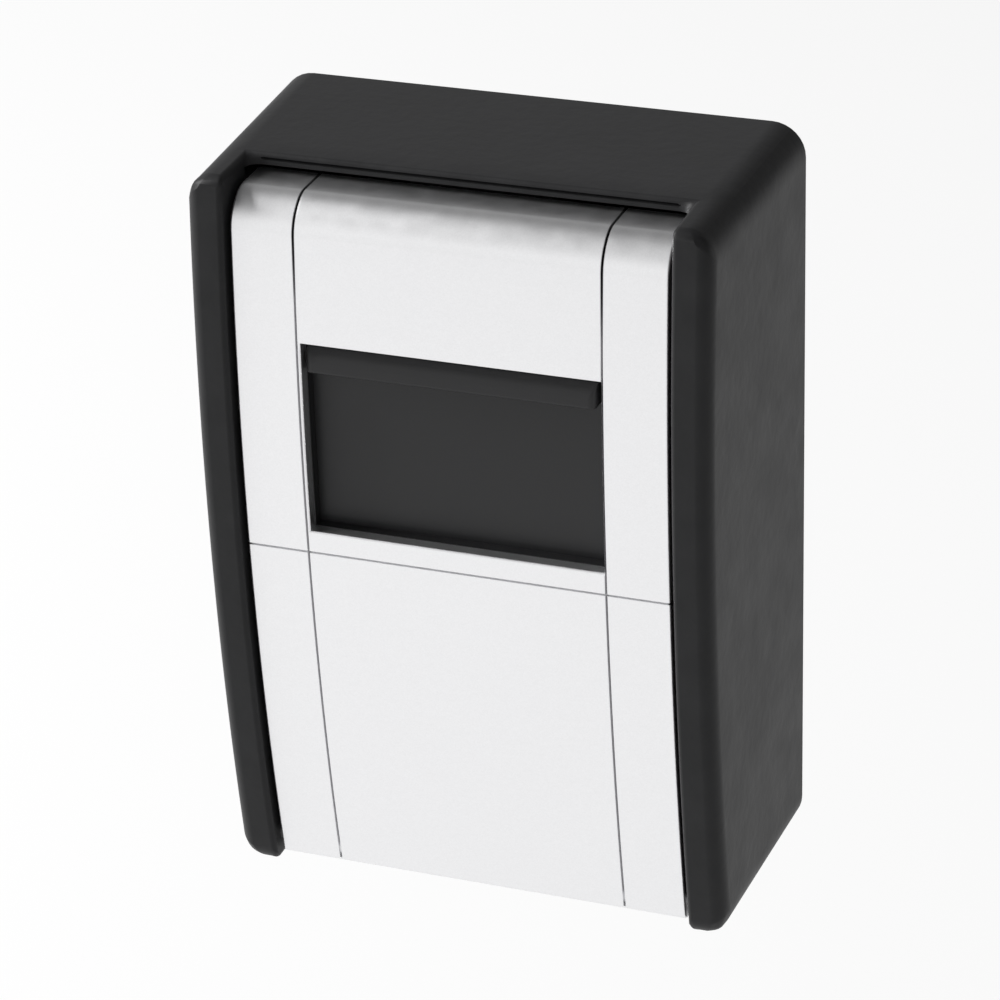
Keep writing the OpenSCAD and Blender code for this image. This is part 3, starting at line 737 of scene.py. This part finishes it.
def door_mesh(size):
    """The bowed door: rolled top, flanges, window, grooves, bosses and knuckles."""
    low, high = box_mm("door_shell")
    half, front, foot, head = high[0], low[1], low[2], high[2]
    top_back = high[1]
    wall = DOOR_WALL
    rim_x = [WINDOW_X[0] - WINDOW_RIM, WINDOW_X[1] + WINDOW_RIM]
    rim_z = [WINDOW_Z[0] - WINDOW_RIM, WINDOW_Z[1] + WINDOW_RIM]

    def is_solid(x, y, z):
        if WINDOW_X[0] < x < WINDOW_X[1] and WINDOW_Z[0] < z < WINDOW_Z[1]:
            return abs(x) > half - wall
        if y > FLANGE_Y:
            return z > head - wall
        rim = rim_x[0] < x < rim_x[1] and rim_z[0] < z < rim_z[1] and y < REVEAL_Y
        return rim or abs(x) > half - wall or y < front + wall or z < foot + wall or z > head - wall

    def long_radius(middle, axis):
        """Rounding of the edges that run from side to side."""
        y, z = middle.y, middle.z
        if axis == 0 and near(y, front) and near(z, head):
            return size["roll"]
        if axis == 0 and near(y, front) and near(z, foot):
            return size["foot"]
        return size["roll"] - wall if axis == 0 and near(y, front + wall) and near(z, head - wall) else 0.0

    def rim_radius(middle, axis):
        """Rounding of the two ends and the window, put on after the long edges."""
        x, y, z = middle
        if near(abs(x), half):
            return size["side_edge"] if y < FLANGE_Y - 0.1 or near(z, head) else 0.0
        in_window = any(near(x, side) for side in WINDOW_X) or any(near(z, end) for end in WINDOW_Z)
        return size["window_edge"] if near(y, front) and in_window else 0.0

    bm = grid_solid(
        [-half, -half + wall, rim_x[0], *WINDOW_X, rim_x[1], half - wall, half],
        [front, front + wall, REVEAL_Y, FLANGE_Y, top_back],
        [foot, foot + wall, rim_z[0], *WINDOW_Z, rim_z[1], head - wall, head], is_solid)
    bm = rounded(bm, long_radius, 10)
    bm = rounded(bm, rim_radius, 4)
    groove, crease = size["groove_half"], size["crease_half"]
    steps = (-groove, -crease, 0.0, crease, groove)
    for axis, places in ((0, (-GROOVE_X, GROOVE_X)), (2, (GROOVE_Z,))):
        slice_at(bm, axis, [place + step for place in places for step in steps])

    def dip(off):
        """Depth of a groove at a distance from its middle."""
        depths = (size["groove_depth"], size["groove_dip"], 0.0)
        return float(np.interp(abs(off), (0.0, crease, groove), depths))

    slice_at(bm, 2, [BOW_STEP * n + 1.0 for n in range(-22, 20)])
    roll, edge = size["roll"], size["side_edge"]
    roll_y, roll_z = front + roll, head - roll
    # painted shade: a vertex attribute that darkens the silver paint in each groove, strongest on the roll
    dark = bm.verts.layers.float.new(SHADE_LAYER)
    for vert in bm.verts:
        x, y, z = vert.co
        sunk = max(dip(abs(x) - GROOVE_X), dip(z - GROOVE_Z))
        if sunk > 0.0:
            inward, gap = Vector((0.0, 1.0, 0.0)), y - front
            if z > roll_z and y < roll_y:
                inward = Vector((0.0, roll_y - y, roll_z - z))
                gap = roll - inward.length
            elif z > roll_z:
                inward, gap = Vector((0.0, 0.0, -1.0)), head - z
            elif abs(x) > half - edge and y < front + edge:
                inward = Vector((math.copysign(half - edge, x) - x, front + edge - y, 0.0))
                gap = edge - inward.length
            if abs(gap) < 0.01:
                vert.co += inward.normalized() * sunk
                off = abs(abs(x) - GROOVE_X)
                rise = clamp((z - roll_z + SHADE_FADE) / SHADE_FADE, FACE_SHADE)
                vert[dark] = rise * float(
                    np.interp(off, (0.0, crease, groove), (1.0, SHOULDER_SHADE, 0.0)))
    for vert in bm.verts:
        x, y, z = vert.co
        bowed = clamp((FLANGE_Y - y) / (FLANGE_Y - front - wall))
        vert.co.y = y + (bow_y(DOOR_BOW_R, z) - front) * bowed
    for x in (-BOSS_X, BOSS_X):
        for z in BOSS_Z:
            add_tube(bm, (x, bow_y(DOOR_BOW_R, z) + wall / 2, z), (x, BOSS_END_Y, z), BOSS_R)
    for side in (-1, 1):
        inner, outer = side * (half - KNUCKLE_LEN), side * (half - KNUCKLE_GAP)
        add_tube(bm, (inner, HINGE_Y, HINGE_Z), (outer, HINGE_Y, HINGE_Z), KNUCKLE_R)
    return finished_mesh(bm)


def surround_mesh():
    """A dark lining at the back of the window's reveal, painted shade in place of the shadow there."""
    front = box_mm("door_shell")[0][1]
    ends_x = (WINDOW_X[0] - SURROUND_SUNK, WINDOW_X[1] + SURROUND_SUNK)
    ends_z = (WINDOW_Z[0] - SURROUND_SUNK, WINDOW_Z[1] + SURROUND_SUNK)
    hole_x = (WINDOW_X[0] + SURROUND_PROUD, WINDOW_X[1] - SURROUND_PROUD)
    hole_z = (WINDOW_Z[0] + SURROUND_PROUD, WINDOW_Z[1] - SURROUND_PROUD)

    def is_solid(x, y, z):
        return not (hole_x[0] < x < hole_x[1] and hole_z[0] < z < hole_z[1])

    bm = grid_solid([ends_x[0], *hole_x, ends_x[1]], [front + SURROUND_SET, REVEAL_Y + SURROUND_PAST],
                    [ends_z[0], *hole_z, ends_z[1]], is_solid)
    slice_at(bm, 2, [BOW_STEP * n for n in range(2, 14)])
    for vert in bm.verts:
        bowed = clamp((FLANGE_Y - vert.co.y) / (FLANGE_Y - front - DOOR_WALL))
        vert.co.y += (bow_y(DOOR_BOW_R, vert.co.z) - front) * bowed
    return finished_mesh(bm)


def shutter_mesh(size):
    """The sliding panel with its finger ridge."""
    low, high = box_mm("shutter")
    half, back, foot, head, front = high[0], high[1], low[2], high[2], RIDGE_FRONT

    def is_solid(x, y, z):
        return y > PANEL_FRONT or (RIDGE_X[0] < x < RIDGE_X[1] and RIDGE_Z[0] < z < RIDGE_Z[1])

    def radius_of(middle, axis):
        x, y, z = middle
        if near(y, front):
            if axis == 0:
                return size["ridge_top"] if near(z, RIDGE_Z[1]) else size["ridge_foot"]
            return size["ridge_top"] / 2
        if axis == 1 and y < PANEL_FRONT:
            return size["ridge_foot"]
        at_rim = abs(x) > half - 0.1 or z < foot + 0.1 or z > head - 0.1
        return PANEL_EDGE if at_rim else 0.0

    bm = grid_solid([-half, *RIDGE_X, half], [front, PANEL_FRONT, back], [foot, *RIDGE_Z, head], is_solid)
    bm = rounded(bm, radius_of, 6)
    rise = RIDGE_Z[1] - RIDGE_Z[0]
    slice_at(bm, 2, [RIDGE_Z[0] + rise * n / 8 for n in range(1, 8)])
    for vert in bm.verts:
        proud = clamp((PANEL_FRONT - vert.co.y) / (PANEL_FRONT - front))
        vert.co.y += size["ridge_lean"] * proud * clamp((vert.co.z - RIDGE_Z[0]) / rise) ** 2
    return finished_mesh(bm)


def numerals_mesh(x, shown, height):
    """The ten numerals round one dial, with the shown one at the front."""
    low, high = box_mm("dial_1")
    radius = (high[2] - low[2]) / 2 + NUMERAL_LIFT
    bm = bmesh.new()
    for digit in range(10):
        text = bpy.data.curves.new("numeral", "FONT")
        text.body = str(digit)
        text.size = height * FONT_SCALE
        text.align_x = "CENTER"
        flat = baked(linked(text, "numeral"))
        part = bmesh.new()
        part.from_mesh(flat)
        bpy.data.meshes.remove(flat)
        bpy.data.curves.remove(text)
        rise = max(v.co.y for v in part.verts)
        slice_at(part, 1, [rise * n / NUMERAL_BANDS for n in range(1, NUMERAL_BANDS)])
        turn = DIAL_STEP * (digit - shown)
        for vert in part.verts:
            angle = (vert.co.y - rise / 2) / radius + turn
            vert.co = (x + vert.co.x, DIAL_AXIS_Y - radius * math.cos(angle),
                       DIAL_AXIS_Z + radius * math.sin(angle))
        joined = bpy.data.meshes.new("numeral")
        part.to_mesh(joined)
        part.free()
        bm.from_mesh(joined)
        bpy.data.meshes.remove(joined)
    return finished_mesh(bm)


def points_mesh(places):
    """A mesh of loose points, in metres."""
    mesh = bpy.data.meshes.new("places")
    mesh.from_pydata([tuple(c * MM for c in place) for place in places], [], [])
    return mesh


def new_tree(name, inputs):
    """An empty node tree with a geometry input and output and these named inputs."""
    tree = bpy.data.node_groups.new(name, "GeometryNodeTree")
    tree.interface.new_socket("Geometry", in_out="INPUT", socket_type="NodeSocketGeometry")
    for label, kind in inputs:
        tree.interface.new_socket(label, in_out="INPUT", socket_type=kind)
    tree.interface.new_socket("Geometry", in_out="OUTPUT", socket_type="NodeSocketGeometry")
    return tree, tree.nodes.new("NodeGroupInput"), tree.nodes.new("NodeGroupOutput")


def raised(tree, value):
    """A socket with a vector that points up by another socket's number."""
    return joined_node(tree, "ShaderNodeCombineXYZ", Z=value).outputs[0]


def screw_tree():
    """Pan-head screws with a cross recess, one on each point, facing the back."""
    tree, given, result = new_tree("pan_head_screws", [
        ("Head Radius", "NodeSocketFloat"), ("Head Height", "NodeSocketFloat"),
        ("Material", "NodeSocketMaterial")])
    radius, height = given.outputs["Head Radius"], given.outputs["Head Height"]
    stages = []
    for wide, high, place in ((1.0, 0.6, 0.3), (0.94, 0.25, 0.68), (0.8, 0.24, 0.86)):
        disc = joined_node(tree, "GeometryNodeMeshCylinder", Vertices=36,
                           Radius=scaled(tree, radius, wide), Depth=scaled(tree, height, high))
        stages.append(joined_node(tree, "GeometryNodeTransform", Geometry=disc.outputs["Mesh"],
                                  Translation=raised(tree, scaled(tree, height, place))).outputs[0])
    head = joined_node(tree, "GeometryNodeMeshBoolean", {"operation": "UNION"})
    for stage in stages:
        tree.links.new(stage, head.inputs["Mesh 2"])
    arms = []
    for turn in (0.0, math.pi / 2):
        size = joined_node(tree, "ShaderNodeCombineXYZ", X=scaled(tree, radius, 1.15),
                           Y=scaled(tree, radius, 0.22), Z=scaled(tree, height, 1.0))
        arm = joined_node(tree, "GeometryNodeMeshCube", Size=size.outputs[0])
        arms.append(joined_node(tree, "GeometryNodeTransform", Geometry=arm.outputs["Mesh"],
                                Translation=raised(tree, height), Rotation=(0.0, 0.0, turn)).outputs[0])
    recess = joined_node(tree, "GeometryNodeMeshBoolean", {"operation": "DIFFERENCE"},
                         Mesh_1=head.outputs["Mesh"])
    for arm in arms:
        tree.links.new(arm, recess.inputs["Mesh 2"])
    placed = joined_node(tree, "GeometryNodeInstanceOnPoints", Points=given.outputs["Geometry"],
                         Instance=recess.outputs["Mesh"], Rotation=(-math.pi / 2, 0.0, 0.0))
    spin = joined_node(tree, "FunctionNodeRandomValue", {"data_type": "FLOAT_VECTOR"}, Seed=7)
    spin.inputs["Min"].default_value = (0.0, 0.0, 0.0)
    spin.inputs["Max"].default_value = (0.0, 0.0, math.pi)
    turned = joined_node(tree, "GeometryNodeRotateInstances", Instances=placed.outputs[0],
                         Rotation=spin.outputs["Value"])
    finish_tree(tree, turned.outputs[0], given.outputs["Material"], result)
    return tree


def spring_tree():
    """Upright coil springs, one on each point."""
    tree, given, result = new_tree("coil_springs", [
        ("Coil Radius", "NodeSocketFloat"), ("Wire Radius", "NodeSocketFloat"),
        ("Height", "NodeSocketFloat"), ("Turns", "NodeSocketFloat"), ("Material", "NodeSocketMaterial")])
    coil = joined_node(tree, "GeometryNodeCurveSpiral", Resolution=40, Rotations=given.outputs["Turns"],
                       Start_Radius=given.outputs["Coil Radius"], End_Radius=given.outputs["Coil Radius"],
                       Height=given.outputs["Height"])
    wire = joined_node(tree, "GeometryNodeCurvePrimitiveCircle", Resolution=12,
                       Radius=given.outputs["Wire Radius"])
    round_wire = joined_node(tree, "GeometryNodeCurveToMesh", Curve=coil.outputs[0],
                             Profile_Curve=wire.outputs[0], Fill_Caps=True)
    smooth = joined_node(tree, "GeometryNodeSetShadeSmooth", Geometry=round_wire.outputs[0])
    placed = joined_node(tree, "GeometryNodeInstanceOnPoints", Points=given.outputs["Geometry"],
                         Instance=smooth.outputs[0])
    finish_tree(tree, placed.outputs[0], given.outputs["Material"], result)
    return tree


def finish_tree(tree, geometry, material, result):
    """Ends a tree: instances made real, material set."""
    real = joined_node(tree, "GeometryNodeRealizeInstances", Geometry=geometry)
    painted = joined_node(tree, "GeometryNodeSetMaterial", Geometry=real.outputs[0], Material=material)
    tree.links.new(painted.outputs[0], result.inputs["Geometry"])


def grown(tree, places, values):
    """The plain mesh that a node tree makes on these places."""
    obj = linked(points_mesh(places), tree.name)
    modifier = obj.modifiers.new("Tree", "NODES")
    modifier.node_group = tree
    for socket in tree.interface.items_tree:
        if socket.in_out == "INPUT" and socket.name in values:
            modifier[socket.identifier] = values[socket.name]
    mesh = baked(obj)
    if not mesh.polygons:
        raise RuntimeError(f"{tree.name} made nothing")
    return mesh


class KEYSAFE_OT_housing(bpy.types.Operator):
    """Casts the housing"""

    bl_idname = "keysafe.housing"
    bl_label = "Housing"

    def execute(self, context):
        mesh = housing_mesh(millimetres(context.scene.key_safe.housing))
        add_piece(mesh, "cast_housing", "housing", "black_paint",
                  safe_finish("satin_black_paint"), "housing")
        return {"FINISHED"}


class KEYSAFE_OT_door(bpy.types.Operator):
    """Forms the door"""

    bl_idname = "keysafe.door"
    bl_label = "Door"

    def execute(self, context):
        mesh = door_mesh(millimetres(context.scene.key_safe.door))
        add_piece(mesh, "bowed_door", "door", "silver_paint",
                  safe_finish("satin_silver_paint"), "door_shell")
        # painted shade: a dark lining at the back of the window's reveal stands in for its shadow
        add_piece(surround_mesh(), "window_shade_lining", "door", "black_plastic",
                  safe_finish("carrier_plastic"))
        return {"FINISHED"}


class KEYSAFE_OT_shutter(bpy.types.Operator):
    """Moulds the shutter"""

    bl_idname = "keysafe.shutter"
    bl_label = "Shutter"

    def execute(self, context):
        mesh = shutter_mesh(millimetres(context.scene.key_safe.lock))
        add_piece(mesh, "sliding_shutter", "shutter", "grey_plastic",
                  safe_finish("shutter_plastic"), "shutter")
        return {"FINISHED"}


class KEYSAFE_OT_dials(bpy.types.Operator):
    """Moulds the dials and prints their numerals"""

    bl_idname = "keysafe.dials"
    bl_label = "Dials"

    def execute(self, context):
        height = context.scene.key_safe.lock.numeral_height / MM
        for n, shown in enumerate(CODE, 1):
            low, high = box_mm(f"dial_{n}")
            body = f"dial_{n}"
            add_piece(edge_finished(body, 0.25), f"dial_drum_{n}", body, "dial_plastic",
                      safe_finish("dial_plastic"), body)
            add_piece(numerals_mesh((low[0] + high[0]) / 2, shown, height), f"dial_numerals_{n}", body,
                      "dial_plastic", safe_finish("numeral_paint"))
        return {"FINISHED"}


class KEYSAFE_OT_works(bpy.types.Operator):
    """Finishes the carrier, cover, latch, button, tab, cams and shafts"""

    bl_idname = "keysafe.works"
    bl_label = "Works"

    def execute(self, context):
        rows = [
            ("mechanism_frame", "carrier", "door", "black_plastic", "carrier_plastic", 0.25),
            ("rear_cover", "back_cover", "door", "black_plastic", "carrier_plastic", 0.25),
            ("detent_spring", "detent_leaf", "door", "spring_steel", "spring_steel", 0.04),
            ("latch_slide", "latch_bolt", "latch", "steel", "zinc_plated_steel", 0.15),
            ("release_button", "thumb_button", "latch", "button_plastic", "button_plastic", 0.45),
            ("code_tab", "code_lever", "code_slide", "tab_plastic", "tab_plastic", 0.3),
            ("axle", "dial_axle", "code_slide", "steel", "zinc_plated_steel", 0.2),
            ("axle_clips", "axle_rings", "code_slide", "steel", "zinc_plated_steel", 0.08),
            ("hinge_rod", "hinge_pin", "housing", "steel", "zinc_plated_steel", 0.3),
        ]
        rows += [(f"cam_{n}", f"code_cam_{n}", f"cam_{n}", "brass", "turned_brass", 0.1)
                 for n in range(1, len(CODE) + 1)]
        for node, name, body, slot_name, finish, edge in rows:
            add_piece(edge_finished(node, edge), name, body, slot_name, safe_finish(finish), node)
        return {"FINISHED"}


class KEYSAFE_OT_screws(bpy.types.Operator):
    """Drives the screws of the carrier and the cover"""

    bl_idname = "keysafe.screws"
    bl_label = "Screws"

    def execute(self, context):
        lock = context.scene.key_safe.lock
        tree = screw_tree()
        finish = safe_finish("screw_steel")
        values = {"Head Radius": lock.screw_head, "Head Height": lock.screw_rise, "Material": finish}
        for node, name, places in (("frame_screws", "carrier_screws", FRAME_SCREWS),
                                   ("cover_screws", "back_cover_screws", COVER_SCREWS)):
            mesh = grown(tree, places, values)
            add_piece(mesh, name, "door", "screw_steel", finish, node)
        return {"FINISHED"}


class KEYSAFE_OT_springs(bpy.types.Operator):
    """Winds the latch springs"""

    bl_idname = "keysafe.springs"
    bl_label = "Springs"

    def execute(self, context):
        lock = context.scene.key_safe.lock
        finish = safe_finish("spring_steel")
        low, high = box_mm("latch_springs")
        values = {"Coil Radius": lock.coil, "Wire Radius": lock.wire, "Turns": 5.0, "Material": finish,
                  "Height": (high[2] - low[2]) * MM - 2 * lock.wire}
        spring = add_piece(grown(spring_tree(), LATCH_COILS, values), "latch_coils", "door", "spring_steel",
                           finish, "latch_springs")
        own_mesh(spring)
        return {"FINISHED"}


class KEYSAFE_OT_stage(bpy.types.Operator):
    """Sets the floor, the light and the camera"""

    bl_idname = "keysafe.stage"
    bl_label = "Stage"

    def execute(self, context):
        scene, stage = context.scene, context.scene.key_safe.stage
        scene.view_settings.view_transform = "Standard"
        mesh = bpy.data.meshes.new("floor")
        height = CAD_BOX[0][2] - stage.drop
        corners = [(x * FLOOR_REACH, y * FLOOR_REACH, height)
                   for x, y in ((-1, -1), (1, -1), (1, 1), (-1, 1))]
        mesh.from_pydata(corners, [], [(0, 1, 2, 3)])
        pale = surface("pale_floor", tuple(stage.floor), variation=0.01, roughness=0.9, spread=0.02,
                       cloud=3.0, grain=400.0, depth=0.00001, specular=0.0)
        self.whiten(pale, stage.white)
        mesh.materials.append(pale)
        floor = linked(mesh, "floor")
        floor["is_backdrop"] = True
        self.light(scene, stage)
        self.camera(scene)
        return {"FINISHED"}

    def whiten(self, material, share):
        """Mixes plain white into the floor for the camera and for what mirrors it or lets it through."""
        tree = material.node_tree
        path = joined_node(tree, "ShaderNodeLightPath")
        seen = path.outputs["Is Camera Ray"]
        for label in ("Is Glossy Ray", "Is Transmission Ray"):
            seen = combined(tree, "MAXIMUM", seen, path.outputs[label])
        glow = joined_node(tree, "ShaderNodeEmission", Color=(1.0, 1.0, 1.0, 1.0), Strength=1.0)
        mixed = joined_node(tree, "ShaderNodeMixShader", Fac=scaled(tree, seen, share))
        tree.links.new(tree.nodes["Principled BSDF"].outputs[0], mixed.inputs[1])
        tree.links.new(glow.outputs[0], mixed.inputs[2])
        tree.links.new(mixed.outputs[0], tree.nodes["Material Output"].inputs["Surface"])

    def light(self, scene, stage):
        """Soft surroundings, brightest in front, and a wide lamp on the left."""
        scene.world = bpy.data.worlds.new("studio")
        scene.world.use_nodes = True
        tree = scene.world.node_tree
        way = joined_node(tree, "ShaderNodeTexCoord").outputs["Generated"]
        split = joined_node(tree, "ShaderNodeSeparateXYZ", Vector=way)

        def fade(axis, start, end, first, last):
            """A level that goes from first to last along an axis of the direction."""
            return ranged(tree, split.outputs[axis], From_Min=start, From_Max=end, To_Min=first, To_Max=last)

        loss = combined(tree, "MULTIPLY", fade(*BACK_LOSS), fade(*LOW_LOSS))
        level = combined(tree, "SUBTRACT", 1.0, loss)
        for limits in (OVERHEAD_FADE, RIGHT_FADE):
            level = combined(tree, "MULTIPLY", level, fade(*limits))
        background = tree.nodes["Background"]
        tree.links.new(level, background.inputs["Color"])
        background.inputs["Strength"].default_value = stage.sky
        lamp = bpy.data.lights.new("key", "AREA")
        lamp.size = KEY_SIZE
        lamp.energy = stage.key
        obj = bpy.data.objects.new("key", lamp)
        scene.collection.objects.link(obj)
        aim = Vector(KEY_PLACE).to_track_quat("Z", "Y").to_matrix().to_4x4()
        obj.matrix_world = Matrix.Translation(KEY_PLACE) @ aim

    def camera(self, scene):
        """The photograph's viewpoint."""
        turn, rise, roll = (math.radians(a) for a in CAMERA_TURN)
        back = Vector((math.sin(turn) * math.cos(rise), -math.cos(turn) * math.cos(rise), math.sin(rise)))
        right = (-back).cross(Vector((0.0, 0.0, 1.0))).normalized()
        up = right.cross(-back)
        right, up = (right * math.cos(roll) + up * math.sin(roll),
                     up * math.cos(roll) - right * math.sin(roll))
        data = bpy.data.cameras.new("photo")
        data.lens = CAMERA_LENS
        data.sensor_width = CAMERA_SENSOR
        data.clip_start = 0.01
        obj = bpy.data.objects.new("photo", data)
        scene.collection.objects.link(obj)
        basis = Matrix((right, up, back)).transposed().to_4x4()
        obj.matrix_world = Matrix.Translation(Vector(CAMERA_PLACE) * MM) @ basis
        scene.camera = obj


PIECES = (KEYSAFE_OT_housing, KEYSAFE_OT_door, KEYSAFE_OT_shutter, KEYSAFE_OT_dials, KEYSAFE_OT_works,
          KEYSAFE_OT_screws, KEYSAFE_OT_springs, KEYSAFE_OT_stage)


class KEYSAFE_PT_panel(bpy.types.Panel):
    """Pieces and settings of the key safe"""

    bl_idname = "KEYSAFE_PT_panel"
    bl_label = "Key Safe"
    bl_space_type = "VIEW_3D"
    bl_region_type = "UI"
    bl_category = "Key Safe"

    def draw(self, context):
        settings = context.scene.key_safe
        for operator in PIECES:
            self.layout.operator(operator.bl_idname)
        for group in (settings.housing, settings.door, settings.lock, settings.stage):
            column = self.layout.column(align=True)
            for name in type(group).__annotations__:
                column.prop(group, name)


CLASSES = (HousingSettings, DoorSettings, LockSettings, StageSettings, KeySafeSettings,
           *PIECES, KEYSAFE_PT_panel)


def register():
    """Adds the classes and the settings."""
    for cls in CLASSES:
        bpy.utils.register_class(cls)
    bpy.types.Scene.key_safe = bpy.props.PointerProperty(type=KeySafeSettings)


def unregister():
    """Takes the settings and the classes away."""
    del bpy.types.Scene.key_safe
    for cls in reversed(CLASSES):
        bpy.utils.unregister_class(cls)


def main():
    """Builds everything."""
    register()
    for operator in PIECES:
        getattr(bpy.ops.keysafe, operator.bl_idname.split(".")[1])()
    boxes = {"cad": CAD_BOX, "visual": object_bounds()}
    {name: [list(corner) for corner in box] for name, box in boxes.items()}


if __name__ == "__main__":
    main()
